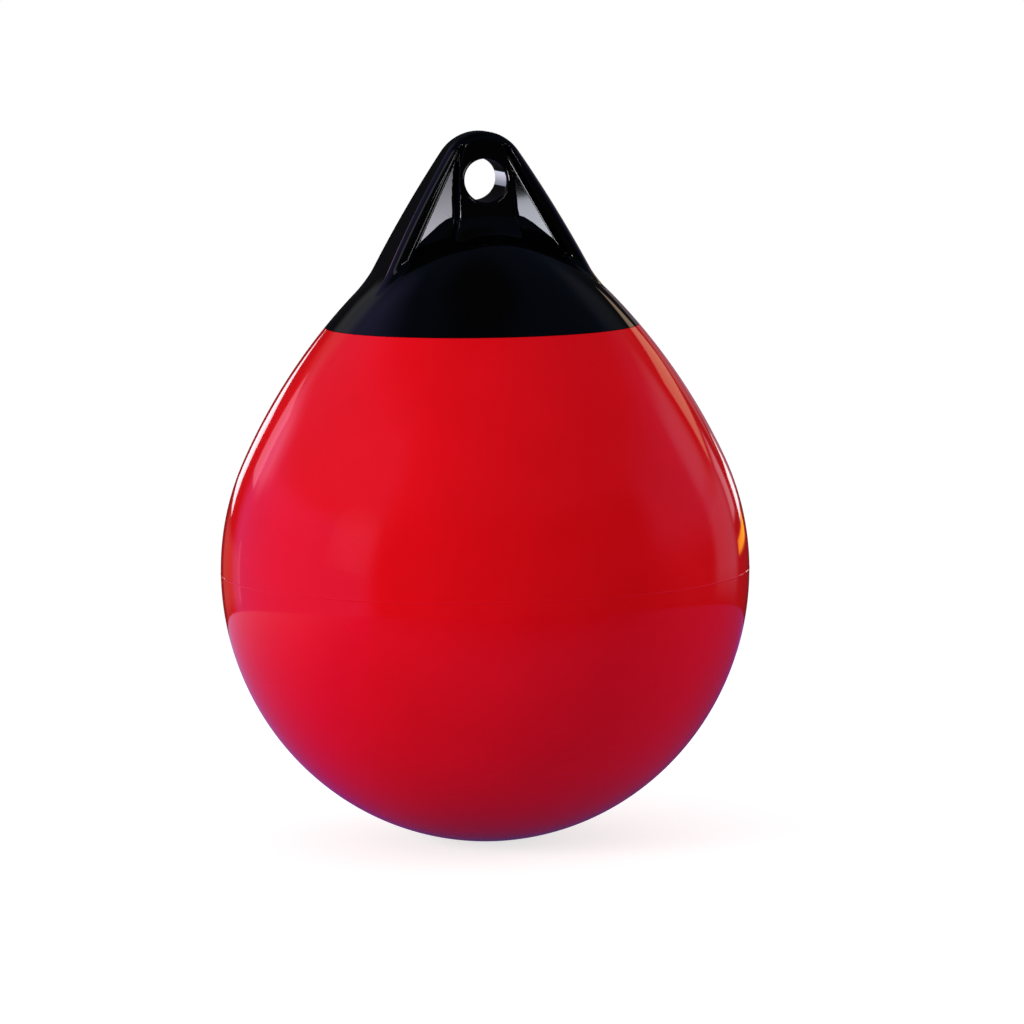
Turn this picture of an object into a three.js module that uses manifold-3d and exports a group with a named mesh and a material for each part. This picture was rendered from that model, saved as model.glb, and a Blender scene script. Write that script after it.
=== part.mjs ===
// Inflatable anti-collision buoy: a gas-tight vinyl float with a solid rope eye moulded into its top.
// Millimetres, +Z up. The origin is the centre of the rope eye's hole, and the hole runs along Y.
import * as THREE from 'three';
import { mergeVertices } from 'three/addons/utils/BufferGeometryUtils.js';
import Module from 'manifold-3d';

const wasm = await Module();
wasm.setup();

const degrees = Math.PI / 180;

// Gap left between pieces that touch or are fused to each other.
const gap = 0.3;

// Float: the section is a half ellipse below the equator and arcs of growing slope above it.
const floatRadius = 186;
const equatorHeight = 192;
const shoulderRadius = 188;
const shoulderTurn = 24.4 * degrees;
const flankRadius = 416;
const flankTurn = 43 * degrees;
const crownRadius = 228;
const crownTurn = 62 * degrees;
const partingRidgeWidth = 1.4;
const partingRidgeHeight = 0.4;
const roundSegments = 72;

// Head: the black cap that the eye grows from. Its skirt is as thick as the float's wall.
const skirtDrop = 72;
const skirtWall = 4.5;

// Rope eye: a wedge with a round crest, seen from the front as a triangle.
const eyeRise = 30;
const boreRadius = 15;
const boreRimRadius = 1.8;
const crestRadius = 30.8;
const crestCentreRise = 3.2;
const sideSlope = 33 * degrees;
const sideBowRadius = 850;
const eyeHalfThickness = 17.5;
const faceSlope = 9.65 * degrees;
const eyeEdgeRadius = 6;

// Pockets: one each side of the bore, on both faces, between a column and the outer ribs.
const webHalfThickness = 8.5;
const webSlope = 13.2 * degrees;
const pocketDraft = 0.9;
const pocketRimRadius = 1.1;
const pocketTopRise = 24.5;
const pocketTipRadius = 2;
const columnWall = 4.35;
const columnFlare = 0.055;
const ribWidthAtTop = 6.6;
const ribWidthAtRoot = 9.7;

// Filling valve on the back of the cap: a flanged insert, a seal ring and a slotted plug.
const valveRadiusFromAxis = 55;
const valveBossRadius = 14.5;
const valveBossHeight = 2.5;
const insertFlangeRadius = 11;
const insertFlangeThickness = 2.4;
const insertSleeveRadius = 7;
const insertLength = 12.5;
const insertBarbHeight = 0.9;
const insertFloor = 3;
const plugShankRadius = 3.9;
const plugShankLength = 9.5;
const plugHeadRadius = 9;
const plugHeadThickness = 3.2;
const plugSlotWidth = 2.4;
const plugSlotDepth = 1.7;
const sealWireRadius = 0.9;
const sealPocketRadius = 6.8;
const valveSegments = 32;

// A geometry as a closed solid: vertices are merged, empty triangles dropped and faces turned out.
function solidOf(geometry) {
  const bare = geometry.index ? geometry.clone() : geometry;
  bare.deleteAttribute('normal');
  bare.deleteAttribute('uv');
  const merged = mergeVertices(bare, 1e-4);
  const positions = merged.attributes.position.array;
  const index = merged.index.array;
  const corner = (id) => new THREE.Vector3().fromArray(positions, 3 * id);
  const triangles = [];
  let volume = 0;
  for (let i = 0; i < index.length; i += 3) {
    const [a, b, c] = index.slice(i, i + 3);
    if (a === b || b === c || c === a) continue;
    triangles.push([a, b, c]);
    volume += corner(a).dot(corner(b).cross(corner(c)));
  }
  const triVerts = Uint32Array.from((volume < 0 ? triangles.map(([a, b, c]) => [a, c, b]) : triangles).flat());
  return new wasm.Manifold(new wasm.Mesh({ numProp: 3, vertProperties: Float32Array.from(positions), triVerts }));
}

// A solid as a geometry that a mesh can show.
function geometryOf(solid) {
  const mesh = solid.getMesh();
  const geometry = new THREE.BufferGeometry();
  geometry.setAttribute('position', new THREE.BufferAttribute(mesh.vertProperties, mesh.numProp));
  geometry.setIndex(new THREE.BufferAttribute(mesh.triVerts, 1));
  geometry.computeVertexNormals();
  return geometry;
}

// A solid of revolution about +Z from a list of (radius, height) points.
function turned(points, segments) {
  return solidOf(new THREE.LatheGeometry(points, segments).rotateX(Math.PI / 2));
}

// The arcs of the float's section above the equator. A turn is the skin's slope, measured from the vertical.
const arcs = [];
let nextRadius = floatRadius;
let nextHeight = equatorHeight;
let nextTurn = 0;
for (const [radius, endTurn] of [[shoulderRadius, shoulderTurn], [flankRadius, flankTurn], [crownRadius, crownTurn]]) {
  arcs.push({ radius, startTurn: nextTurn, endTurn, startRadius: nextRadius, startHeight: nextHeight });
  nextRadius -= radius * (Math.cos(nextTurn) - Math.cos(endTurn));
  nextHeight += radius * (Math.sin(endTurn) - Math.sin(nextTurn));
  nextTurn = endTurn;
}

// The last arc closes the section on the axis, so its radius follows from the others.
const tipRadius = nextRadius / Math.cos(nextTurn);
arcs.push({ radius: tipRadius, startTurn: nextTurn, endTurn: 90 * degrees, startRadius: nextRadius, startHeight: nextHeight });
const crownHeight = nextHeight + tipRadius * (1 - Math.sin(nextTurn));

// Heights above the float's lowest point that the pieces share.
const eyeHeight = crownHeight + eyeRise;
const colourLineHeight = crownHeight - skirtDrop;

// The point of the skin, or of a surface that lies inset below it, at a given turn.
function skinPoint(turn, inset = 0) {
  const arc = arcs.find((item) => turn <= item.endTurn) ?? arcs.at(-1);
  const radius = arc.startRadius - arc.radius * (Math.cos(arc.startTurn) - Math.cos(turn));
  const height = arc.startHeight + arc.radius * (Math.sin(turn) - Math.sin(arc.startTurn));
  return new THREE.Vector2(radius - inset * Math.cos(turn), height - inset * Math.sin(turn));
}

// The turn at which a surface inset below the skin reaches a condition, found by halving.
function turnWhere(reached, inset = 0) {
  let low = 0;
  let high = 90 * degrees;
  for (let i = 0; i < 50; i++) {
    const middle = (low + high) / 2;
    if (reached(skinPoint(middle, inset))) high = middle;
    else low = middle;
  }
  return high;
}

// The filling valve's seat on its boss, square to the skin.
const valveTurn = turnWhere((point) => point.x <= valveRadiusFromAxis);
const valveSeat = skinPoint(valveTurn, -valveBossHeight);

// The eye's root: the cap is solid from here up, deep enough to close round the valve's insert.
const insertEnd = skinPoint(valveTurn, insertLength - valveBossHeight);
const insertReach = (insertSleeveRadius + insertBarbHeight) * Math.cos(valveTurn);
const rootHeight = insertEnd.y - insertReach - insertFloor;

// Points along the skin between two turns, a few degrees apart.
function skinRun(startTurn, endTurn, inset = 0, step = 5.5 * degrees) {
  const count = Math.max(1, Math.ceil((endTurn - startTurn) / step));
  const points = [];
  for (let i = 0; i <= count; i++) points.push(skinPoint(startTurn + (endTurn - startTurn) * i / count, inset));
  return points;
}

// The float's lower half, from the bottom up to just below the parting ridge.
function lowerRun(steps) {
  const points = [];
  for (let i = 0; i < steps; i++) {
    const angle = 90 * degrees * i / steps;
    points.push(new THREE.Vector2(floatRadius * Math.sin(angle), equatorHeight * (1 - Math.cos(angle))));
  }
  return points;
}

// The ridge where the two halves of the mould met, all round the equator.
function partingRidge() {
  const half = partingRidgeWidth / 2;
  return [
    new THREE.Vector2(floatRadius, equatorHeight - half),
    new THREE.Vector2(floatRadius + partingRidgeHeight, equatorHeight - half / 2),
    new THREE.Vector2(floatRadius + partingRidgeHeight, equatorHeight + half / 2),
  ];
}

// Float: sealed and filled with air. Its upper end is a tongue that fits inside the head's skirt.
function floatBody() {
  const stepHeight = colourLineHeight - gap / 2;
  const inset = skirtWall + gap;
  const ridgeTop = turnWhere((point) => point.y >= equatorHeight + partingRidgeWidth / 2);
  const stepTurn = turnWhere((point) => point.y >= stepHeight);
  const tongueStart = turnWhere((point) => point.y >= stepHeight, inset);
  const tongueEnd = turnWhere((point) => point.y >= rootHeight - gap, inset);
  return turned([
    ...lowerRun(14),
    ...partingRidge(),
    ...skinRun(ridgeTop, stepTurn),
    ...skinRun(tongueStart, tongueEnd, inset),
    new THREE.Vector2(0, rootHeight - gap),
  ], roundSegments);
}

// The cap as it would be without the hollow below it.
function capSolid() {
  const lineHeight = colourLineHeight + gap / 2;
  const start = turnWhere((point) => point.y >= lineHeight);
  return turned([
    new THREE.Vector2(0, lineHeight),
    ...skinRun(start, 90 * degrees),
  ], roundSegments);
}

// What the float's tongue takes up inside the cap, with its top face at the eye's root.
function capHollow() {
  const below = colourLineHeight - skirtWall;
  const start = turnWhere((point) => point.y >= below, skirtWall);
  const end = turnWhere((point) => point.y >= rootHeight, skirtWall);
  return turned([
    new THREE.Vector2(0, below),
    ...skinRun(start, end, skirtWall),
    new THREE.Vector2(0, rootHeight),
  ], roundSegments);
}

// Half of the eye's thickness at a height above the bore's centre: both faces lean towards the crest.
function halfThickness(rise) {
  return eyeHalfThickness - rise * Math.tan(faceSlope);
}

// An outline moved square to its edges, outwards for a positive distance.
function grown(outline, distance) {
  return outline.map((point, i) => {
    const before = outline[(i + outline.length - 1) % outline.length];
    const after = outline[(i + 1) % outline.length];
    const along = point.clone().sub(before).normalize();
    const next = after.clone().sub(point).normalize();
    const bisector = new THREE.Vector2(along.y + next.y, -along.x - next.x).normalize();
    const stretch = 1 / Math.max(0.35, bisector.dot(new THREE.Vector2(along.y, -along.x)));
    return point.clone().addScaledVector(bisector, distance * stretch);
  });
}

// A closed skin through rings of equal length, with a flat face at each end. Outlines run anticlockwise.
function lofted(rings) {
  const count = rings[0].length;
  const positions = rings.flat().flatMap((point) => point.toArray());
  const index = [];
  for (let ring = 0; ring + 1 < rings.length; ring++) {
    for (let i = 0; i < count; i++) {
      const a = ring * count + i;
      const b = ring * count + (i + 1) % count;
      index.push(a, b, b + count, a, b + count, a + count);
    }
  }
  for (const [ring, flip] of [[0, true], [rings.length - 1, false]]) {
    const flat = rings[ring].map((point) => new THREE.Vector2(point.x, point.z));
    for (const [a, b, c] of THREE.ShapeUtils.triangulateShape(flat, [])) {
      const face = [a, b, c].map((id) => id + ring * count);
      index.push(...(flip ? face.reverse() : face));
    }
  }
  const geometry = new THREE.BufferGeometry();
  geometry.setAttribute('position', new THREE.Float32BufferAttribute(positions, 3));
  geometry.setIndex(index);
  return geometry;
}

// One ring of the eye: the outline grown by a distance, at a depth that depends on the height.
function ringAt(outline, growth, depthAt, side) {
  return grown(outline, growth).map((point) =>
    new THREE.Vector3(point.x, side * depthAt(point.y), point.y + eyeHeight));
}

// The same ring set back from the sloping front or back face.
function eyeRing(outline, growth, setBack, side) {
  return ringAt(outline, growth, (rise) => halfThickness(rise) - setBack, side);
}

// Where the crest's arc runs into a side, which bows out a little on its way down.
const sideTop = new THREE.Vector2(crestRadius * Math.cos(sideSlope), crestCentreRise + crestRadius * Math.sin(sideSlope));

// Half of the eye's width at a height below that.
function sideAt(rise) {
  const slope = Math.asin(Math.sin(sideSlope) - (sideTop.y - rise) / sideBowRadius);
  return new THREE.Vector2(sideTop.x + sideBowRadius * (Math.cos(slope) - Math.cos(sideSlope)), rise);
}

// The eye seen from the front, from the crest's arc down into the cap. Heights are above the bore's centre.
function eyeOutline() {
  const crest = new THREE.Path()
    .absarc(0, crestCentreRise, crestRadius, sideSlope, Math.PI - sideSlope)
    .getPoints(16);
  const footRise = colourLineHeight + gap / 2 - eyeHeight;
  const side = [];
  for (let i = 0; i < 5; i++) side.push(sideAt(footRise + (sideTop.y - footRise) * i / 5));
  const mirrored = side.map((point) => new THREE.Vector2(-point.x, point.y)).reverse();
  return [...crest, ...mirrored, ...side];
}

// The wedge with rounded edges, before anything is cut out of it.
function eyeWedge() {
  const outline = eyeOutline();
  const rings = [];
  for (const side of [-1, 1]) {
    const half = [];
    for (let i = 0; i <= 4; i++) {
      const angle = 90 * degrees * i / 4;
      half.push(eyeRing(outline, -eyeEdgeRadius * (1 - Math.sin(angle)), eyeEdgeRadius * (1 - Math.cos(angle)), side));
    }
    rings.push(...(side < 0 ? half : half.reverse()));
  }
  return solidOf(lofted(rings));
}

// A cutter that enters one face: rings from its floor out past the face, flaring at the rim.
function faceCutter(outline, floor, rimRadius, side) {
  const rings = [...floor];
  for (let i = 0; i <= 3; i++) {
    const angle = 90 * degrees * i / 3;
    const growth = rimRadius * (1 - Math.cos(angle));
    rings.push(eyeRing(outline, growth, rimRadius * (1 - Math.sin(angle)), side));
  }
  rings.push(eyeRing(outline, rimRadius, -2, side));
  return rings;
}

// The bore for the rope, with a rounded rim on both faces.
function boreCutter() {
  const outline = new THREE.Path().absarc(0, 0, boreRadius, 0, 2 * Math.PI).getPoints(20).slice(0, -1);
  const front = faceCutter(outline, [], boreRimRadius, -1);
  const back = faceCutter(outline, [], boreRimRadius, 1);
  return solidOf(lofted([...front.reverse(), ...back]));
}

// A pocket's outline on the +X side: the column's edge, a round tip and the rib's edge.
function pocketOutline() {
  const footRise = colourLineHeight - eyeHeight + skirtDrop / 3;
  const ribTop = sideTop.x - ribWidthAtTop;
  const ribFoot = sideAt(footRise).x - ribWidthAtRoot;
  const ribEdge = (rise) => {
    const share = (sideTop.y - rise) / (sideTop.y - footRise);
    return new THREE.Vector2(ribTop + (ribFoot - ribTop) * share, rise);
  };
  const columnEdge = (rise) => new THREE.Vector2(boreRadius + columnWall - rise * columnFlare, rise);
  const tipRise = pocketTopRise - pocketTipRadius;
  const tipCentre = new THREE.Vector2(boreRadius + pocketTipRadius / 2, tipRise);
  const tip = new THREE.Path().absarc(tipCentre.x, tipCentre.y, pocketTipRadius, 20 * degrees, 170 * degrees).getPoints(5);
  const columnTop = columnEdge(boreRadius / 2);
  return [columnEdge(footRise), ribEdge(footRise), ribEdge(tipRise - 3 * pocketTipRadius), ...tip, columnTop];
}

// A drafted pocket in one face, on one side of the bore. Its floor is the web, which leans more than the face.
function pocketCutter(across, side) {
  const outline = pocketOutline();
  const webAt = (rise) => webHalfThickness - rise * Math.tan(webSlope);
  const floor = [ringAt(outline, -pocketDraft, webAt, side)];
  return solidOf(lofted(faceCutter(outline, floor, pocketRimRadius, side)).scale(across, 1, 1));
}

// The filling valve's frame: its origin on the boss's face, its +Z square to the skin.
const valveFrame = new THREE.Matrix4()
  .makeRotationX(valveTurn - 90 * degrees)
  .setPosition(0, valveSeat.x, valveSeat.y);

// The same frame in the form that a solid takes.
function seatedAtValve(solid) {
  return solid.transform(valveFrame.elements);
}

// A turned valve piece, from (radius, height) pairs in the valve's frame.
function valveTurned(pairs) {
  return turned(pairs.map(([radius, height]) => new THREE.Vector2(radius, height)), valveSegments);
}

// The round pad that the valve is seated in.
function valveBoss() {
  const chamfer = valveBossHeight / 3;
  return seatedAtValve(valveTurned([
    [0, -2 * valveBossHeight],
    [valveBossRadius, -2 * valveBossHeight],
    [valveBossRadius, -chamfer],
    [valveBossRadius - chamfer, 0],
    [0, 0],
  ]));
}

// The room that the insert takes up in the cap, open to the inside of the float.
function valveRoom() {
  return seatedAtValve(valveTurned([
    [0, -skirtDrop],
    [insertSleeveRadius + insertBarbHeight + gap, -skirtDrop],
    [insertSleeveRadius + insertBarbHeight + gap, -insertFlangeThickness - gap],
    [insertFlangeRadius + gap, -insertFlangeThickness - gap],
    [insertFlangeRadius + gap, valveBossHeight],
    [0, valveBossHeight],
  ]));
}

// Head: the cap, the drafted eye with its bore and four pockets, and the valve's boss.
function eyeHead() {
  let eye = eyeWedge().subtract(boreCutter());
  for (const side of [-1, 1]) {
    for (const across of [-1, 1]) eye = eye.subtract(pocketCutter(across, side));
  }
  return capSolid().add(eye).add(valveBoss()).subtract(capHollow()).subtract(valveRoom());
}

const boreInInsert = plugShankRadius + gap;
const sealPocketDepth = 2 * sealWireRadius + gap;

// Insert: a flanged nylon sleeve with two barbs that lock it into the cap.
function valveInsert() {
  const barb = insertSleeveRadius + insertBarbHeight;
  const shoulder = -insertFlangeThickness;
  const run = (insertLength - insertFlangeThickness) / 4;
  return seatedAtValve(valveTurned([
    [boreInInsert, -insertLength],
    [insertSleeveRadius, -insertLength],
    [barb, shoulder - 3 * run],
    [insertSleeveRadius, shoulder - 3 * run],
    [insertSleeveRadius, shoulder - 2 * run],
    [barb, shoulder - run],
    [insertSleeveRadius, shoulder - run],
    [insertSleeveRadius, shoulder],
    [insertFlangeRadius, shoulder],
    [insertFlangeRadius, 0],
    [sealPocketRadius, 0],
    [sealPocketRadius, -sealPocketDepth],
    [boreInInsert, -sealPocketDepth],
    [boreInInsert, -insertLength],
  ]));
}

// Seal: a rubber ring that lies in the insert's pocket, under the plug's head.
function valveSeal() {
  const ringRadius = (boreInInsert + sealPocketRadius) / 2;
  const ring = new THREE.TorusGeometry(ringRadius, sealWireRadius, 10, valveSegments);
  return seatedAtValve(solidOf(ring).translate(0, 0, -sealWireRadius));
}

// Plug: a screw whose slotted head presses the seal, turned out with a coin to fill the float.
function valvePlug() {
  const edge = plugHeadThickness / 4;
  const body = valveTurned([
    [0, -plugShankLength],
    [plugShankRadius - edge, -plugShankLength],
    [plugShankRadius, edge - plugShankLength],
    [plugShankRadius, gap],
    [plugHeadRadius, gap],
    [plugHeadRadius, gap + plugHeadThickness - edge],
    [plugHeadRadius - edge, gap + plugHeadThickness],
    [0, gap + plugHeadThickness],
  ]);
  const slot = new THREE.BoxGeometry(3 * plugHeadRadius, plugSlotWidth, 2 * plugSlotDepth);
  slot.translate(0, 0, gap + plugHeadThickness);
  return seatedAtValve(body.subtract(solidOf(slot)));
}

const glossyRed = { color: 0xc40d24, roughness: 0.18, metalness: 0 };
const glossyBlack = { color: 0x0c0c0e, roughness: 0.16, metalness: 0 };
const greyNylon = { color: 0x3a3d40, roughness: 0.5, metalness: 0 };
const blackRubber = { color: 0x111111, roughness: 0.8, metalness: 0 };

const buoy = new THREE.Group();
buoy.name = 'anti_collision_buoy';
buoy.position.z = -eyeHeight;

const pieces = [
  ['float_body', floatBody(), glossyRed],
  ['eye_head', eyeHead(), glossyBlack],
  ['valve_insert', valveInsert(), greyNylon],
  ['valve_seal', valveSeal(), blackRubber],
  ['valve_plug', valvePlug(), greyNylon],
];
for (const [name, solid, looks] of pieces) {
  const mesh = new THREE.Mesh(geometryOf(solid), new THREE.MeshStandardMaterial(looks));
  mesh.name = name;
  buoy.add(mesh);
}

export default buoy;
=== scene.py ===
import math

import bmesh
import bpy
import numpy as np
from mathutils import Matrix, Vector


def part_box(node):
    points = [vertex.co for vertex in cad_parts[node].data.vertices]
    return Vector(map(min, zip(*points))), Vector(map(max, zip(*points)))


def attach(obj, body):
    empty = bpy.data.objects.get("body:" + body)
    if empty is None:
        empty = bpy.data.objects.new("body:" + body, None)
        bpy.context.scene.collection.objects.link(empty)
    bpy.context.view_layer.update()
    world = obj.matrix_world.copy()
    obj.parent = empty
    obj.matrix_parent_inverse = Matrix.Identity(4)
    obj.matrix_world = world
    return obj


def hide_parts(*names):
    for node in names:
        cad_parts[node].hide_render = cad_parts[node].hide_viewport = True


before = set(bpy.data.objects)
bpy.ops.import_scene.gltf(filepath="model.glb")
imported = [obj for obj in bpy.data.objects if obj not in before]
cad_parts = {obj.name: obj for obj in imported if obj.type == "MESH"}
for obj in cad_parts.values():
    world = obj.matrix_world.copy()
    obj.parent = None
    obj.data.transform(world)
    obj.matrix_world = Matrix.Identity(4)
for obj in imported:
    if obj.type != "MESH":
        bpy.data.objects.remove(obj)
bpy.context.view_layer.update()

# Float
# A ball of plasticised PVC, rotationally moulded in two halves, sealed and blown up hard.
# Above its widest part it draws in towards the black head, which it is fused to.
# Its upper end is a tongue that lies inside the head's skirt.

# Sizes are in millimetres, and a finished mesh is scaled to metres.
millimetre = 0.001
float_radius = 186.0
equator_height = 192.0
neck_arcs = [(188.0, 24.4), (416.0, 43.0), (228.0, 62.0)]
eye_rise = 30.0
skirt_drop = 72.0
skirt_wall = 4.5
fit_gap = 0.3
ridge_width = 1.1
ridge_height = 0.15
ridge_half_steps = 4
bottom_rings = 72
under_ridge = (0.008, 0.005)
turns_around = 288

# The section above the equator, from each arc's radius and last slope in degrees. An arc becomes
# its centre's radius and height, its own radius, and its first and last slope.
arcs = []
arc_radius, arc_height, slope = float_radius, equator_height, 0.0
for radius, end_degrees in neck_arcs:
    end = math.radians(end_degrees)
    centre = (arc_radius - radius * math.cos(slope), arc_height - radius * math.sin(slope))
    arcs.append((*centre, radius, slope, end))
    arc_radius = centre[0] + radius * math.cos(end)
    arc_height = centre[1] + radius * math.sin(end)
    slope = end
tip_radius = arc_radius / math.cos(slope)
arcs.append((0.0, arc_height - tip_radius * math.sin(slope), tip_radius, slope, math.pi / 2))

# Heights become z in the frame, whose origin is the centre of the rope eye's hole.
crown_height = arcs[-1][1] + tip_radius
eye_height = crown_height + eye_rise
arcs = [(centre_r, centre_h - eye_height, *rest) for centre_r, centre_h, *rest in arcs]
equator_z = equator_height - eye_height
line_z = -eye_rise - skirt_drop


def skin_point(slope, inset=0.0):
    """Radius and z of the skin, or of a surface inset below it, where the skin has this slope."""
    centre_r, centre_z, radius, _, _ = next(arc for arc in arcs if slope <= arc[4] + 1e-9)
    reach = radius - inset
    return centre_r + reach * math.cos(slope), centre_z + reach * math.sin(slope)


def slope_where(reached, inset=0.0):
    """The slope at which that surface reaches a condition, found by halving."""
    low, high = 0.0, math.pi / 2
    for _ in range(50):
        middle = (low + high) / 2
        if reached(*skin_point(middle, inset)):
            high = middle
        else:
            low = middle
    return high


def slope_at(height, inset=0.0):
    """The slope at which that surface reaches a height."""
    return slope_where(lambda reach, z: z >= height, inset)


def skin_run(start, end, count, inset=0.0):
    """Points along the surface between two slopes."""
    return [skin_point(start + (end - start) * i / count, inset) for i in range(count + 1)]


def turned(profile, steps):
    """A closed solid of revolution from (radius, z) points."""
    bm = bmesh.new()
    verts = [bm.verts.new((radius, 0, z)) for radius, z in profile]
    edges = [bm.edges.new(pair) for pair in zip(verts, verts[1:])]
    bmesh.ops.spin(bm, geom=verts + edges, axis=(0, 0, 1), cent=(0, 0, 0), dvec=(0, 0, 0),
                   angle=2 * math.pi, steps=steps, use_merge=True)
    bmesh.ops.remove_doubles(bm, verts=bm.verts, dist=1e-4)
    bmesh.ops.recalc_face_normals(bm, faces=bm.faces)
    return bm


def as_object(bm, name):
    """The bmesh as an object in millimetres."""
    mesh = bpy.data.meshes.new(name)
    bm.to_mesh(mesh)
    bm.free()
    made = bpy.data.objects.new(name, mesh)
    bpy.context.scene.collection.objects.link(made)
    return made


def finished(piece, material, crease=40):
    """Scales a piece to metres, smooths its shading up to a crease angle and gives it its material."""
    piece.data.transform(Matrix.Scale(millimetre, 4))
    piece.data.shade_smooth()
    piece.data.set_sharp_from_angle(angle=math.radians(crease))
    piece.data.materials.clear()
    piece.data.materials.append(material)
    return piece


def paint(code):
    """A linear colour from an sRGB hex value."""
    parts = [int(code[i:i + 2], 16) / 255 for i in (1, 3, 5)]
    return [c / 12.92 if c <= 0.04045 else ((c + 0.055) / 1.055) ** 2.4 for c in parts] + [1.0]


def add(tree, kind, settings=(), inputs=()):
    """Adds a node. An input is a value or the socket that it is linked from."""
    node = tree.nodes.new("ShaderNode" + kind)
    for name, value in dict(settings).items():
        setattr(node, name, value)
    for name, value in dict(inputs).items():
        if isinstance(value, bpy.types.NodeSocket):
            tree.links.new(value, node.inputs[name])
        else:
            node.inputs[name].default_value = value
    return node


def new_material(name):
    """A material with its node tree, its surface shader and its Object coordinates."""
    material = bpy.data.materials.new(name)
    material.use_nodes = True
    tree = material.node_tree
    place = add(tree, "TexCoord").outputs["Object"]
    return material, tree, tree.nodes["Principled BSDF"], place


def mottled(tree, shader, place, patch_size, darker, lighter):
    """Colours a surface in patches between two tones, and returns the patches' pattern."""
    patches = add(tree, "TexNoise", inputs={"Vector": place, "Scale": 1 / patch_size, "Detail": 3.0})
    tone = add(tree, "ValToRGB", inputs={"Fac": patches.outputs["Fac"]})
    for stop, position, code in zip(tone.color_ramp.elements, (0.3, 0.7), (darker, lighter)):
        stop.position = position
        stop.color = paint(code)
    tree.links.new(tone.outputs["Color"], shader.inputs["Base Color"])
    return patches.outputs["Fac"]


# The bottom is half an ellipse, and the parting line of the two halves stands up from the widest
# part as a low ridge. Above it the rings follow the arcs, then step in to the tongue.
bottom_turns = list(np.linspace(0, math.pi / 2, bottom_rings)[:-1])
bottom_turns += [math.pi / 2 - turn for turn in under_ridge]
bottom = [(float_radius * math.sin(a), equator_height * (1 - math.cos(a)) - eye_height) for a in bottom_turns]
ridge = []
for i in range(-ridge_half_steps, ridge_half_steps + 1):
    share = i / ridge_half_steps
    ridge.append((float_radius + ridge_height * (0.5 + 0.5 * math.cos(math.pi * share)),
                  equator_z + ridge_width / 2 * share))
ridge_end = ridge[-1][1]
step_z = line_z - fit_gap / 2
tongue_inset = skirt_wall + fit_gap
tongue_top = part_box("float_body")[1][2] / millimetre
profile = bottom + ridge
profile += skin_run(slope_at(ridge_end + 0.4), slope_at(ridge_end + 1.0), 1)
profile += skin_run(slope_at(ridge_end + 3.0), slope_at(step_z), 84)
profile += skin_run(slope_at(step_z, tongue_inset), slope_at(tongue_top, tongue_inset), 8, tongue_inset)
profile += [(0.0, tongue_top)]

# Red plasticised PVC, cast against a polished mould: an even deep red under a wet-looking gloss.
# The blown skin undulates very slightly, so the edges of what it mirrors waver a little.
red_vinyl, tree, shader, place = new_material("red plasticised PVC, moulded glossy")
cloud_size = 90.0 * millimetre
wave_size = 45.0 * millimetre
grain_size = 1.6 * millimetre
clouds = mottled(tree, shader, place, cloud_size, "#d3060f", "#dc0714")
gloss = add(tree, "MapRange", inputs={"Value": clouds, "To Min": 0.05, "To Max": 0.075})
waves = add(tree, "TexNoise", inputs={"Vector": place, "Scale": 1 / wave_size, "Detail": 1.0})
grain = add(tree, "TexNoise", inputs={"Vector": place, "Scale": 1 / grain_size, "Detail": 2.0})
swell = add(tree, "Bump", inputs={"Height": waves.outputs["Fac"], "Distance": 0.06 * millimetre,
                                  "Strength": 1.0})
skin = add(tree, "Bump", inputs={"Height": grain.outputs["Fac"], "Distance": 0.0003 * millimetre,
                                 "Strength": 1.0, "Normal": swell.outputs["Normal"]})
tree.links.new(gloss.outputs["Result"], shader.inputs["Roughness"])
tree.links.new(skin.outputs["Normal"], shader.inputs["Normal"])
shader.inputs["IOR"].default_value = 1.53

float_piece = finished(as_object(turned(profile, turns_around), "red_float"), red_vinyl)
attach(float_piece, "root")
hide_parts("float_body")

# Head
# The black cap with its rope eye, moulded in one of the same vinyl and much thicker than the float.
# The eye is a drafted wedge, pierced for the rope and cored on both faces to a web between
# a column round the hole and two outer ribs. It flows into the cap with wide fillets.
bore_radius = 15.0
bore_rim = 1.8
crest_radius = 30.8
crest_centre = 3.2
side_slope = math.radians(33.0)
side_bow = 850.0
half_thickness = 17.5
face_slope = math.radians(9.65)
edge_radius = 6.0
web_thickness = 8.5
web_slope = math.radians(13.2)
web_toe = math.radians(2.0)
pocket_rim = 1.1
pocket_fillet = 2.4
pocket_draft = 0.9
pocket_top = 24.5
pocket_tip = 1.7
pocket_corner = 1.2
column_wall = 4.35
column_flare = 0.055
column_lean = 0.297
column_bend = 2.0
rib_at_top = 6.6
rib_at_root = 9.7
root_fillet = (10.0, 4.0)
root_spread = (28.0, 54.0)
valve_radius = 55.0
boss_radius = 14.5
boss_height = 2.5
boss_edge = 0.9
boss_fillet = 1.8
insert_flange = 11.0
insert_shoulder = 2.4
insert_sleeve = 7.0
insert_barb = 0.9
insert_length = 12.5
voxel = 0.75
spare_skirt = 8.0
nudge = 0.02
longest_move = 0.6
most_triangles = 180000

side_top = crest_radius * math.cos(side_slope)
side_top_z = crest_centre + crest_radius * math.sin(side_slope)
bow_x = (crest_radius - side_bow) * math.cos(side_slope)
bow_z = crest_centre + (crest_radius - side_bow) * math.sin(side_slope)
rib_foot_z = line_z + skirt_drop / 3
below_line = line_z - spare_skirt
column_kink = bore_radius / 2
web_middle = 2 * bore_radius

# The valve's frame: origin on the boss's face, +Z square to the skin, on the back of the cap.
valve_slope = slope_where(lambda reach, z: reach <= valve_radius)
seat_y, seat_z = skin_point(valve_slope, -boss_height)
valve_frame = Matrix.Translation((0, seat_y, seat_z)) @ Matrix.Rotation(valve_slope - math.pi / 2, 4, "X")


def side_at(z):
    """Half of the eye's width at a height below the crest's arc: the sides bow out a little."""
    return bow_x + math.sqrt(side_bow ** 2 - (z - bow_z) ** 2)


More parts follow.
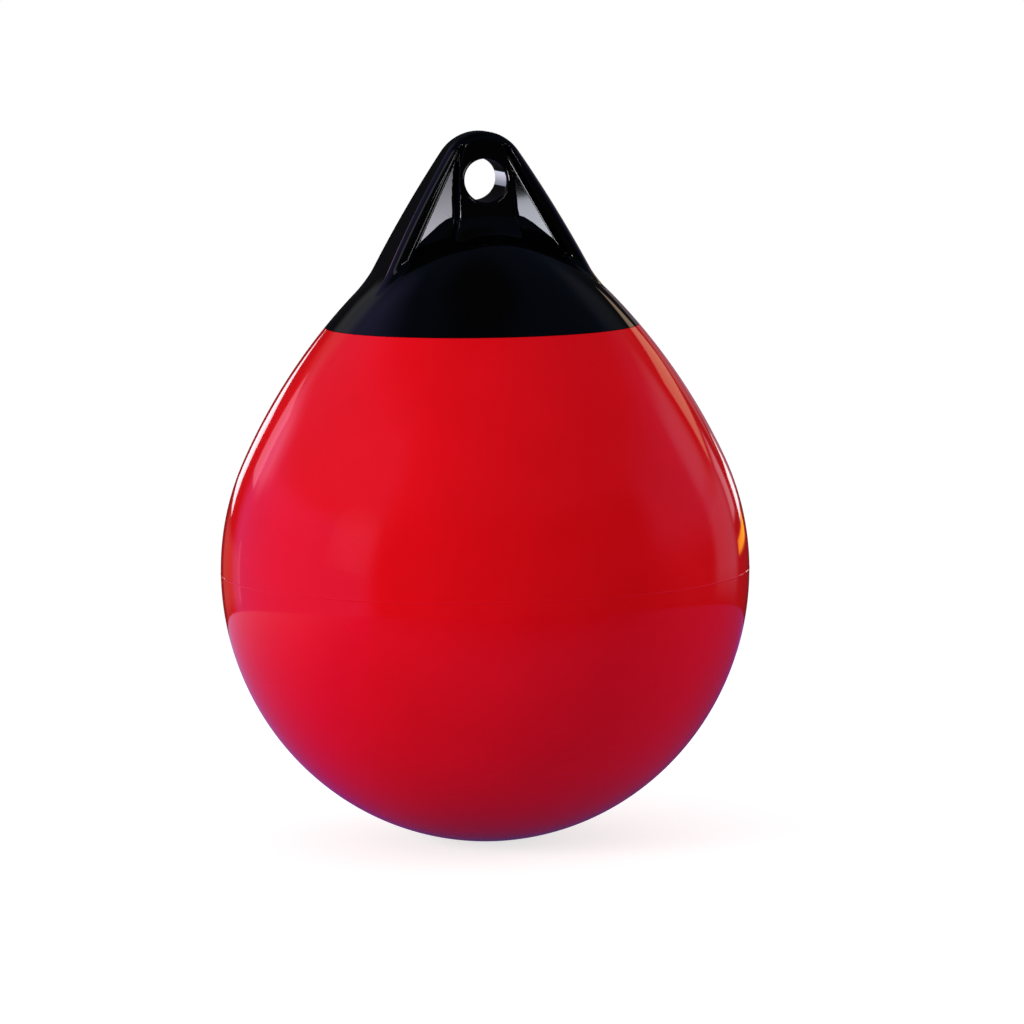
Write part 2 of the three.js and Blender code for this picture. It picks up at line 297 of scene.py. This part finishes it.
rib_top = side_top - rib_at_top
rib_lean = (side_at(rib_foot_z) - rib_at_root - rib_top) / (side_top_z - rib_foot_z)


def face_at(z):
    """Half of the eye's thickness at a height."""
    return half_thickness - z * math.tan(face_slope)


def web_at(x, z):
    """Half of the web's thickness at a height: it thins upwards and towards the ribs."""
    return web_thickness - z * math.tan(web_slope) - (x - web_middle) * math.tan(web_toe)


def column_at(z):
    """Where a pocket starts, beside the hole: straight below it, and following it round above."""
    return bore_radius + column_wall - column_flare * z


def rib_at(z):
    """Where a pocket ends, at the rib."""
    return rib_top + (side_top_z - z) * rib_lean


def cut(a, b, radius):
    """What two forms share, with a rounded edge. A form is negative inside and gives a distance."""
    rounded = np.hypot(np.maximum(radius + a, 0), np.maximum(radius + b, 0))
    return rounded + np.minimum(-radius, np.maximum(a, b))


def join(a, b, radius):
    """Two forms together, with a fillet between them."""
    return -cut(-a, -b, radius)


def cap_form(x, y, z):
    """The skin of the float and cap as a form."""
    reach = np.hypot(x, y)
    distance = None
    for centre_r, centre_z, radius, start, _ in arcs:
        from_arc = np.hypot(reach - centre_r, z - centre_z) - radius
        steep = np.arctan2(z - centre_z, reach - centre_r) >= start
        distance = from_arc if distance is None else np.where(steep, from_arc, distance)
    return distance


def pocket_form(x, depth, z):
    """A pocket in the eye, as a form."""
    column = (column_at(z) - x) / math.hypot(1, column_flare)
    kink = column_at(column_kink) - column_lean * (z - column_kink)
    column = join(column, (kink - x) / math.hypot(1, column_lean), column_bend)
    rib = (x - rib_at(z)) / math.hypot(1, rib_lean)
    outline = cut(cut(column, rib, pocket_corner), z - pocket_top, pocket_tip)
    web = web_at(x, z)
    outline = outline + pocket_draft * (face_at(z) - depth) / (face_at(z) - web)
    return cut(outline, (web - depth) * math.cos(web_slope), pocket_fillet)


def head_form(points):
    """The whole outside of the head as one form."""
    x, y, z = np.abs(points[:, 0]), np.abs(points[:, 1]), points[:, 2]
    along = x * math.sin(side_slope) - (z - crest_centre) * math.cos(side_slope)
    side = np.hypot(x - bow_x, z - bow_z) - side_bow
    outline = np.where(along > 0, side, np.hypot(x, z - crest_centre) - crest_radius)
    eye = cut(outline, (y - face_at(z)) * math.cos(face_slope), edge_radius)
    eye = cut(eye, bore_radius - np.hypot(x, z), bore_rim)
    eye = cut(eye, -pocket_form(x, y, z), pocket_rim)
    whole = join(cap_form(x, y, z), eye, np.interp(x, root_spread, root_fillet))
    local = (points - np.array(valve_frame.translation)) @ np.array(valve_frame.to_3x3())
    boss = cut(np.hypot(local[:, 0], local[:, 1]) - boss_radius, local[:, 2], boss_edge)
    return join(whole, boss, boss_fillet)


def slopes_of_form(points):
    """Which way the head's form rises at each point, and how steeply."""
    slopes = np.empty_like(points)
    for axis in range(3):
        step = np.zeros(3)
        step[axis] = nudge
        slopes[:, axis] = (head_form(points + step) - head_form(points - step)) / (2 * nudge)
    return slopes


def drawn_to_form(points, rounds):
    """Moves points onto the head's form, along its slope."""
    for _ in range(rounds):
        slopes = slopes_of_form(points)
        steepness = np.maximum((slopes ** 2).sum(axis=1), 0.2)
        move = np.clip(head_form(points) / steepness, -longest_move, longest_move)
        points = points - move[:, None] * slopes
    return points


def draw_head(head, rounds):
    """Draws the skin onto the form, but for the flat end below the colour line."""
    loose = [vert for vert in head.verts if vert.co.z > below_line + 3]
    for vert, spot in zip(loose, drawn_to_form(np.array([vert.co for vert in loose]), rounds)):
        vert.co = spot
    return loose


def prism(outline, near, far):
    """A solid between two depths, from an outline of (x, z) points. A depth depends on the height."""
    bm = bmesh.new()
    front = [bm.verts.new((x, near(z), z)) for x, z in outline]
    bm.faces.new(front)
    back = bmesh.ops.extrude_face_region(bm, geom=bm.faces[:])["geom"]
    for vert in back:
        if isinstance(vert, bmesh.types.BMVert):
            vert.co.y = far(vert.co.z)
    bmesh.ops.recalc_face_normals(bm, faces=bm.faces)
    return bm


def joined(meshes):
    """Several bmeshes as one."""
    whole = bmesh.new()
    for bm in meshes:
        part = bpy.data.meshes.new("part")
        bm.to_mesh(part)
        bm.free()
        whole.from_mesh(part)
        bpy.data.meshes.remove(part)
    return whole


def carved(body, cutter):
    """The body object less the cutter object, as a new bmesh. Both objects are used up."""
    knife = body.modifiers.new("cut", "BOOLEAN")
    knife.operation = "DIFFERENCE"
    knife.solver = "EXACT"
    knife.object = cutter
    result = bmesh.new()
    result.from_object(body, bpy.context.evaluated_depsgraph_get())
    for used in (body, cutter):
        bpy.data.objects.remove(used)
    return result


# The rough head: a turned cap and a sharp-edged eye, which the voxels make one skin.
cap_profile = [(0.0, below_line)] + skin_run(slope_at(below_line), math.pi / 2, 40)
crest = [(crest_radius * math.cos(a), crest_centre + crest_radius * math.sin(a))
         for a in np.linspace(side_slope, math.pi - side_slope, 24)]
sides = [(side_at(z), z) for z in np.linspace(line_z, side_top_z, 8)[:-1]]
eye = prism(crest + [(-x, z) for x, z in sides[::-1]] + sides, lambda z: -face_at(z), face_at)
bore = bmesh.new()
bmesh.ops.create_cone(bore, cap_ends=True, segments=64, radius1=bore_radius, radius2=bore_radius, depth=90,
                      matrix=Matrix.Rotation(math.pi / 2, 4, "X"))
cutters = [bore]
for side in (-1, 1):
    for face in (-1, 1):
        outline = [(column_at(rib_foot_z), rib_foot_z), (rib_at(rib_foot_z), rib_foot_z),
                   (rib_at(pocket_top - 2), pocket_top - 2), (rib_at(pocket_top) - 1, pocket_top),
                   (bore_radius, pocket_top), (column_at(column_kink), column_kink)]
        outline = [(side * x, z) for x, z in outline]
        cutters.append(prism(outline, lambda z: face * web_at(web_middle, z),
                             lambda z: face * (face_at(z) + 4)))
eye = carved(as_object(eye, "eye"), as_object(joined(cutters), "cutters"))
rough = as_object(joined([turned(cap_profile, 128), eye]), "rough_head")
skinning = rough.modifiers.new("skin", "REMESH")
skinning.mode = "VOXEL"
skinning.voxel_size = voxel
head = bmesh.new()
head.from_object(rough, bpy.context.evaluated_depsgraph_get())
bpy.data.objects.remove(rough)

# The skin is drawn onto the form and evened out in turns, then thinned where it is flat.
for passes in (6, 3, 2, 1):
    loose = draw_head(head, 3)
    for _ in range(passes):
        bmesh.ops.smooth_vert(head, verts=loose, factor=0.5, use_axis_x=True, use_axis_y=True,
                              use_axis_z=True)
draw_head(head, 4)
triangles = sum(len(face.verts) - 2 for face in head.faces)
dense = as_object(head, "dense_head")
thinning = dense.modifiers.new("thin", "DECIMATE")
thinning.ratio = min(1.0, most_triangles / triangles)
head = bmesh.new()
head.from_object(dense, bpy.context.evaluated_depsgraph_get())
bpy.data.objects.remove(dense)
draw_head(head, 4)

# Its lower edge is trimmed flat at the colour line, then the hollow and the valve's room are cut.
trim_z = line_z + fit_gap / 2
cut_line = bmesh.ops.bisect_plane(head, geom=head.verts[:] + head.edges[:] + head.faces[:], dist=1e-4,
                                  plane_co=(0, 0, trim_z), plane_no=(0, 0, 1), clear_inner=True)
rim = [item for item in cut_line["geom_cut"] if isinstance(item, bmesh.types.BMEdge)]
bmesh.ops.contextual_create(head, geom=rim)
bmesh.ops.recalc_face_normals(head, faces=head.faces)
root_z = tongue_top + fit_gap
hollow_start = line_z - skirt_wall
hollow_run = skin_run(slope_at(hollow_start, skirt_wall), slope_at(root_z, skirt_wall), 24, skirt_wall)
hollow = turned([(0.0, hollow_start)] + hollow_run + [(0.0, root_z)], 144)
head = carved(as_object(head, "head"), as_object(hollow, "hollow"))
sleeve_room = insert_sleeve + insert_barb + fit_gap
flange_room = insert_flange + fit_gap
room = turned([(0.0, -30.0), (sleeve_room, -30.0), (sleeve_room, -insert_shoulder - fit_gap),
               (flange_room, -insert_shoulder - fit_gap), (flange_room, -0.5), (flange_room + 0.15, -0.15),
               (flange_room + 0.5, 0.0), (flange_room + 0.5, boss_height), (0.0, boss_height)], 96)
room.transform(valve_frame)
head = carved(as_object(head, "head"), as_object(room, "room"))

# Black plasticised PVC from the same kind of mould: deep black that shows only what it mirrors.
black_vinyl, tree, shader, place = new_material("black plasticised PVC, moulded glossy")
clouds = mottled(tree, shader, place, cloud_size, "#010101", "#020202")
gloss = add(tree, "MapRange", inputs={"Value": clouds, "To Min": 0.02, "To Max": 0.035})
waves = add(tree, "TexNoise", inputs={"Vector": place, "Scale": 1 / wave_size, "Detail": 1.0})
skin = add(tree, "Bump", inputs={"Height": waves.outputs["Fac"], "Distance": 0.02 * millimetre,
                                 "Strength": 1.0})
tree.links.new(gloss.outputs["Result"], shader.inputs["Roughness"])
tree.links.new(skin.outputs["Normal"], shader.inputs["Normal"])
shader.inputs["IOR"].default_value = 1.53

head_piece = finished(as_object(head, "black_head"), black_vinyl, crease=50)

# The form's own slope gives the shading, so what the skin mirrors has no facets.
mesh = head_piece.data
spots = np.empty(len(mesh.vertices) * 3)
mesh.vertices.foreach_get("co", spots)
spots = spots.reshape(-1, 3) / millimetre
slopes = slopes_of_form(spots)
slopes /= np.linalg.norm(slopes, axis=1)[:, None]
on_form = np.abs(head_form(spots)) < 0.02
corners = np.empty(len(mesh.loops), dtype=int)
mesh.loops.foreach_get("vertex_index", corners)
facing = np.empty(len(mesh.loops) * 3)
mesh.corner_normals.foreach_get("vector", facing)
facing = facing.reshape(-1, 3)
exact = slopes[corners]
follows = on_form[corners] & ((facing * exact).sum(axis=1) > 0.8)
mesh.normals_split_custom_set(np.where(follows[:, None], exact, facing).tolist())
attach(head_piece, "root")
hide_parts("eye_head")

# Valve insert
# A sleeve of grey nylon, moulded into the back of the head, with a flange flush with the boss
# and two barbs that lock it in. Its mouth has a pocket for the seal.
shank_radius = 3.9
insert_bore = shank_radius + fit_gap
seal_wire = 0.9
seal_pocket = 6.8
pocket_floor = -2 * seal_wire - fit_gap
barb_run = (insert_length - insert_shoulder) / 4
barb_tip = insert_sleeve + insert_barb


def rounded(bm, edges, width):
    """Rounds these edges."""
    bmesh.ops.bevel(bm, geom=edges, offset=width, offset_type="OFFSET", affect="EDGES", segments=3,
                    profile=0.5, material=-1)


def soften(bm, width):
    """Rounds every edge that is sharper than 30 degrees."""
    rounded(bm, [edge for edge in bm.edges
                 if len(edge.link_faces) == 2 and edge.calc_face_angle() > math.radians(30)], width)


# Grey nylon: a satin, slightly mottled engineering plastic.
nylon, tree, shader, place = new_material("grey glass-filled nylon, moulded satin")
fleck_size = 0.8 * millimetre
flecks = mottled(tree, shader, place, fleck_size, "#33363a", "#43474c")
satin = add(tree, "MapRange", inputs={"Value": flecks, "To Min": 0.35, "To Max": 0.5})
grain = add(tree, "Bump", inputs={"Height": flecks, "Distance": 0.01 * millimetre, "Strength": 1.0})
tree.links.new(satin.outputs["Result"], shader.inputs["Roughness"])
tree.links.new(grain.outputs["Normal"], shader.inputs["Normal"])

barb_z = [-insert_shoulder - i * barb_run for i in range(4)]
insert = turned([(insert_bore, -insert_length), (insert_sleeve, -insert_length), (barb_tip, barb_z[3]),
                 (insert_sleeve, barb_z[3]), (insert_sleeve, barb_z[2]), (barb_tip, barb_z[1]),
                 (insert_sleeve, barb_z[1]), (insert_sleeve, barb_z[0]),
                 (insert_flange, -insert_shoulder), (insert_flange, 0.0), (seal_pocket, 0.0),
                 (seal_pocket, pocket_floor), (insert_bore, pocket_floor), (insert_bore, -insert_length)], 96)
soften(insert, 0.25)
insert.transform(valve_frame)
insert_piece = finished(as_object(insert, "nylon_insert"), nylon)
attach(insert_piece, "root")
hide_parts("valve_insert")

# Valve seal
# A ring of black rubber that lies in the insert's mouth, under the plug's head.
ring_radius = (insert_bore + seal_pocket) / 2
ring_turns = [2 * math.pi * i / 24 for i in range(25)]
ring = [(ring_radius + seal_wire * math.cos(a), seal_wire * (math.sin(a) - 1)) for a in ring_turns]
seal = turned(ring, 96)
seal.transform(valve_frame)

# Black nitrile rubber: matt, with a faint bloom.
rubber, tree, shader, place = new_material("black nitrile rubber, matt")
bloom_size = 1.5 * millimetre
mottled(tree, shader, place, bloom_size, "#0e0e0f", "#17171a")
shader.inputs["Roughness"].default_value = 0.7
seal_piece = finished(as_object(seal, "rubber_seal"), rubber)
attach(seal_piece, "root")
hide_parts("valve_seal")

# Valve plug
# A screw of the same nylon. Its broad head presses the seal and has a slot for a coin.
plug_length = 9.5
plug_radius = 9.0
plug_height = 3.2
plug_edge = 0.8
slot_width = 2.4
slot_depth = 1.7
top = fit_gap + plug_height
plug = turned([(0.0, -plug_length), (shank_radius - plug_edge, -plug_length),
               (shank_radius, plug_edge - plug_length), (shank_radius, fit_gap), (plug_radius, fit_gap),
               (plug_radius, top - plug_edge), (plug_radius - plug_edge, top), (0.0, top)], 96)
soften(plug, 0.2)
slot = bmesh.new()
bmesh.ops.create_cube(slot, size=1.0, matrix=Matrix.Translation((0, 0, top)) @
                      Matrix.Diagonal((3 * plug_radius, slot_width, 2 * slot_depth, 1)))
plug = carved(as_object(plug, "plug"), as_object(slot, "slot"))
mouth = [edge for edge in plug.edges
         if all(vert.co.z > top - 1e-3 and abs(abs(vert.co.y) - slot_width / 2) < 1e-3
                for vert in edge.verts)]
rounded(plug, mouth, 0.25)
plug.transform(valve_frame)
plug_piece = finished(as_object(plug, "nylon_plug"), nylon)
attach(plug_piece, "root")
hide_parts("valve_plug")

# Camera
# At the photograph's angle: far off, a little to the left and above the head, and leaning slightly.
camera_azimuth = math.radians(-13.897)
camera_distance = 3.8142
camera_z = 0.6702 - eye_height * millimetre
aim_z = 0.2319 - eye_height * millimetre
aim_right = 0.01942
camera_roll = math.radians(-0.731)
pixels_per_unit = 5456.6
frame_pixels = 1024
sensor = 36.0

camera_data = bpy.data.cameras.new("camera")
camera_data.sensor_width = sensor
camera_data.lens = pixels_per_unit / frame_pixels * sensor
camera = bpy.data.objects.new("camera", camera_data)
bpy.context.scene.collection.objects.link(camera)
stand = Vector((math.sin(camera_azimuth) * camera_distance, -math.cos(camera_azimuth) * camera_distance,
                camera_z))
aim = Vector((math.cos(camera_azimuth), math.sin(camera_azimuth), 0)) * aim_right + Vector((0, 0, aim_z))
forward = (aim - stand).normalized()
right = forward.cross(Vector((0, 0, 1))).normalized()
up = right.cross(forward)
right, up = (right * math.cos(camera_roll) + up * math.sin(camera_roll),
             up * math.cos(camera_roll) - right * math.sin(camera_roll))
camera.matrix_world = Matrix.Translation(stand) @ Matrix((right, up, -forward)).transposed().to_4x4()
bpy.context.scene.camera = camera

# Floor
# A round, pale lilac table under the float. What the float mirrors of it is painted light: the table glows,
# bright to the left and behind and dark in front. The camera sees it lifted to white, with the shadow kept.
floor_size = 1.9
floor_bm = bmesh.new()
bmesh.ops.create_circle(floor_bm, cap_ends=True, segments=128, radius=floor_size / 2,
                        matrix=Matrix.Translation((0, 0, -eye_height * millimetre)))
floor = as_object(floor_bm, "floor")
floor_material, tree, shader, place = new_material("pale lilac table")
tree.nodes.remove(shader)
seen = add(tree, "LightPath")
lilac = add(tree, "BsdfDiffuse", inputs={"Color": paint("#cdbfe6")})
white = add(tree, "BsdfDiffuse", inputs={"Color": (0.5, 0.5, 0.5, 1.0)})
lift = add(tree, "Emission", inputs={"Color": (1.0, 1.0, 1.0, 1.0), "Strength": 0.72})
lifted = add(tree, "AddShader", inputs={0: white.outputs[0], 1: lift.outputs[0]})
# Painted light for mirrored rays: the table glows as an emission, brighter towards the back left.
along = add(tree, "VectorMath", {"operation": "DOT_PRODUCT"}, {0: place, 1: (-0.6, 0.8, 0.0)})
painted_table_light = add(tree, "ValToRGB", inputs={"Fac": along.outputs["Value"]})
while len(painted_table_light.color_ramp.elements) < 4:
    painted_table_light.color_ramp.elements.new(0.5)
for stop, position, colour in zip(painted_table_light.color_ramp.elements, (0.0, 0.12, 0.4, 1.0),
                                  ((0.06, 0.04, 0.16, 1), (0.11, 0.04, 0.27, 1), (0.3, 0.13, 0.42, 1),
                                   (0.62, 0.36, 0.66, 1))):
    stop.position = position
    stop.color = colour
# The painted light fades out towards the front of the table.
depth = add(tree, "SeparateXYZ", inputs={0: place})
front = add(tree, "MapRange", {"interpolation_type": "SMOOTHSTEP"},
            {"Value": depth.outputs["Y"], "From Min": -0.85, "From Max": -0.3, "To Min": 0.15})
glow = add(tree, "Emission", inputs={"Color": painted_table_light.outputs["Color"], "Strength": front.outputs["Result"]})
table = add(tree, "MixShader", inputs={0: seen.outputs["Is Glossy Ray"], 1: lilac.outputs[0],
                                       2: glow.outputs[0]})
chosen = add(tree, "MixShader", inputs={0: seen.outputs["Is Camera Ray"], 1: table.outputs[0],
                                        2: lifted.outputs[0]})
tree.links.new(chosen.outputs[0], tree.nodes["Material Output"].inputs["Surface"])
floor.data.materials.append(floor_material)

# Studio
# The room lights the float evenly, but what the vinyl mirrors of it is dark, with dim panels beside
# and behind the float. Seen directly, the backdrop is white.
world = bpy.data.worlds.new("studio")
bpy.context.scene.world = world
world.use_nodes = True
tree = world.node_tree
tree.nodes.clear()
direction = add(tree, "TexCoord").outputs["Generated"]
axes = add(tree, "SeparateXYZ", inputs={0: direction})
turn = add(tree, "Math", {"operation": "ARCTAN2"}, {0: axes.outputs["X"], 1: axes.outputs["Y"]})
bearing = add(tree, "Math", {"operation": "DEGREES"}, {0: turn.outputs[0]}).outputs[0]
rise = add(tree, "Math", {"operation": "ARCSINE"}, {0: axes.outputs["Z"]})
elevation = add(tree, "Math", {"operation": "DEGREES"}, {0: rise.outputs[0]}).outputs[0]


def within(value, middle, half, soft):
    """One inside a band of angles and zero outside it, with a soft border."""
    offset = add(tree, "Math", {"operation": "SUBTRACT"}, {0: value, 1: middle})
    size = add(tree, "Math", {"operation": "ABSOLUTE"}, {0: offset.outputs[0]})
    band = add(tree, "MapRange", {"interpolation_type": "SMOOTHSTEP"},
               {"Value": size.outputs[0], "From Min": half + soft, "From Max": half - soft})
    return band.outputs["Result"]


# Each panel: bearing and half its width, elevation and half its height, softness, colour, strength.
# Angles are in degrees, and a bearing is from +Y towards +X.
panels = [
    # Mirrored near the left outline: a pink one with soft ends, and low warm ones.
    (-26.0, 4.2, 13.6, 4.6, 0.5, "#ffc8dc", 0.9),
    (-33.0, 5.0, 15.5, 5.0, 3.0, "#ffc8e4", 0.5),
    (-38.0, 5.0, 18.5, 4.5, 3.5, "#ffc8e4", 0.3),
    (-18.0, 13.0, -6.0, 4.0, 1.5, "#ffb49c", 0.2),
    (-31.5, 0.9, -5.0, 5.0, 0.5, "#ffb0b8", 0.4),
    # Near the right outline: a tan one, grey ones, and small white, pink and yellow ones.
    (44.5, 8.0, 14.2, 4.0, 0.5, "#ffdcb4", 0.75),
    (67.0, 8.0, 19.0, 7.0, 4.0, "#a8a4b8", 0.6),
    (63.0, 11.0, 1.0, 9.0, 4.0, "#9494b0", 0.6),
    (29.0, 8.5, 6.2, 2.4, 0.8, "#e0c8d0", 0.25),
    (34.5, 3.6, -0.3, 2.2, 0.4, "#ffffff", 2.2),
    (25.0, 6.0, 0.0, 3.0, 0.8, "#e0b8d4", 0.35),
    (46.9, 3.1, 4.4, 4.2, 0.8, "#ffd8ec", 0.7),
    (40.0, 8.2, -3.7, 0.9, 0.4, "#ffb428", 2.0),
    # Wide and soft, over the front: bluish at the left, at the right and above, and grey on the cap.
    (-70.0, 45.0, 0.0, 20.0, 6.0, "#7c68c8", 0.8),
    (-75.0, 45.0, 34.0, 16.0, 10.0, "#7c76b4", 0.48),
    (90.0, 24.0, 19.0, 13.0, 8.0, "#90a0ff", 0.18),
    (0.0, 190.0, 50.0, 22.0, 8.0, "#7baeff", 0.04),
    (-22.0, 9.0, 27.0, 9.0, 5.0, "#d0d0d4", 0.22),
    (55.0, 9.0, 31.0, 9.0, 6.0, "#ffffff", 0.04),
]
dark_room = (0.014, 0.014, 0.018, 1.0)
mirrored = add(tree, "RGB").outputs[0]
mirrored.default_value = dark_room
for across, half_width, height, half_height, soft, colour, strength in panels:
    mask = add(tree, "Math", {"operation": "MULTIPLY"}, {
        0: within(bearing, across, half_width, soft),
        1: within(elevation, height, half_height, soft)})
    glow = [channel * strength for channel in paint(colour)[:3]]
    mirrored = add(tree, "VectorMath", {"operation": "MULTIPLY_ADD"},
                   {0: mask.outputs[0], 1: glow, 2: mirrored}).outputs[0]
room = add(tree, "Background", inputs={"Color": (0.97, 0.96, 1.0, 1.0), "Strength": 0.7})
gloss_room = add(tree, "Background", inputs={"Color": mirrored})
backdrop = add(tree, "Background", inputs={"Color": (1.0, 1.0, 1.0, 1.0), "Strength": 1.0})
path = add(tree, "LightPath")
for_gloss = add(tree, "MixShader", inputs={0: path.outputs["Is Glossy Ray"], 1: room.outputs[0],
                                           2: gloss_room.outputs[0]})
straight = add(tree, "Math", {"operation": "MAXIMUM"}, {0: path.outputs["Is Camera Ray"],
                                                        1: path.outputs["Is Transmission Ray"]})
for_camera = add(tree, "MixShader", inputs={0: straight.outputs[0], 1: for_gloss.outputs[0],
                                            2: backdrop.outputs[0]})
output = tree.nodes.new("ShaderNodeOutputWorld")
tree.links.new(for_camera.outputs[0], output.inputs["Surface"])


def hung(name, data, aim, azimuth, height, distance):
    """Hangs a lamp that shines at a point. Azimuth 0 is the front and 90 is +X, in degrees."""
    light = bpy.data.objects.new(name, data)
    bpy.context.scene.collection.objects.link(light)
    a, e = math.radians(azimuth), math.radians(height)
    towards = Vector((math.sin(a) * math.cos(e), -math.cos(a) * math.cos(e), math.sin(e)))
    light.location = aim + towards * distance
    light.rotation_euler = towards.to_track_quat("Z", "Y").to_euler()
    light.visible_camera = False
    return light


# Two square soft lamps light the vinyl and aren't mirrored: name, azimuth, height, size and power.
for name, azimuth, height, size, power in [("key light", -72.0, 14.0, 1.0, 35.0),
                                           ("fill light", 92.0, 6.0, 1.8, 17.0)]:
    data = bpy.data.lights.new(name, "AREA")
    data.size = size
    data.energy = power
    soft_lamp = hung(name, data, Vector((0, 0, equator_z * millimetre)), azimuth, height, 2.6)
    soft_lamp.visible_glossy = False

# Lamps that only one of the pieces mirrors, as if the other were screened from them.
head_alone = bpy.data.collections.new("head alone")
head_alone.objects.link(head_piece)
float_alone = bpy.data.collections.new("float alone")
float_alone.objects.link(float_piece)


def mirrored_lamp(name, receivers, azimuth, half_width, height, half_height, strengths, colour="#ffffff",
                  distance=3.0):
    """A lamp aimed at the eye. Its size is in degrees, and its strength runs from bottom to top."""
    data = bpy.data.lights.new(name, "AREA")
    data.shape = "RECTANGLE"
    data.size = 2 * distance * math.tan(math.radians(half_width))
    data.size_y = 2 * distance * math.tan(math.radians(half_height))
    data.energy = math.pi * data.size * data.size_y
    data.color = paint(colour)[:3]
    data.use_nodes = True
    tree = data.node_tree
    spot = add(tree, "TexCoord").outputs["UV"]
    heights = add(tree, "SeparateXYZ", inputs={0: spot})
    grade = add(tree, "MapRange", inputs={"Value": heights.outputs["Y"], "To Min": strengths[0],
                                          "To Max": strengths[1]})
    tree.links.new(grade.outputs["Result"], tree.nodes["Emission"].inputs["Strength"])
    light = hung(name, data, Vector((0, 0, 0)), azimuth, height, distance)
    light.visible_diffuse = False
    light.light_linking.receiver_collection = receivers


mirrored_lamp("right web lamp", head_alone, 20.3, 1.4, 20.9, 0.75, (14.0, 9.0), "#eef2ff")
mirrored_lamp("left web lamp", head_alone, 7.2, 3.6, 22.2, 1.3, (13.0, 0.8), "#f4f2ff")
mirrored_lamp("right rim lamp", head_alone, -0.5, 5.5, 13.75, 2.25, (16.0, 16.0))
mirrored_lamp("left rim lamp", head_alone, 32.0, 8.0, 6.0, 6.0, (3.5, 3.5))
mirrored_lamp("left edge lamp", head_alone, -52.0, 9.0, 42.0, 9.0, (0.6, 0.6))
mirrored_lamp("hole lamp", head_alone, -167.75, 3.75, -3.75, 9.0, (2.6, 1.0), "#e4e8ff")
mirrored_lamp("left backdrop", float_alone, -173.2, 4.8, 2.7, 4.3, (2.6, 2.6), "#fff0f8", 30.0)

scene = bpy.context.scene
scene.view_settings.view_transform = "Standard"
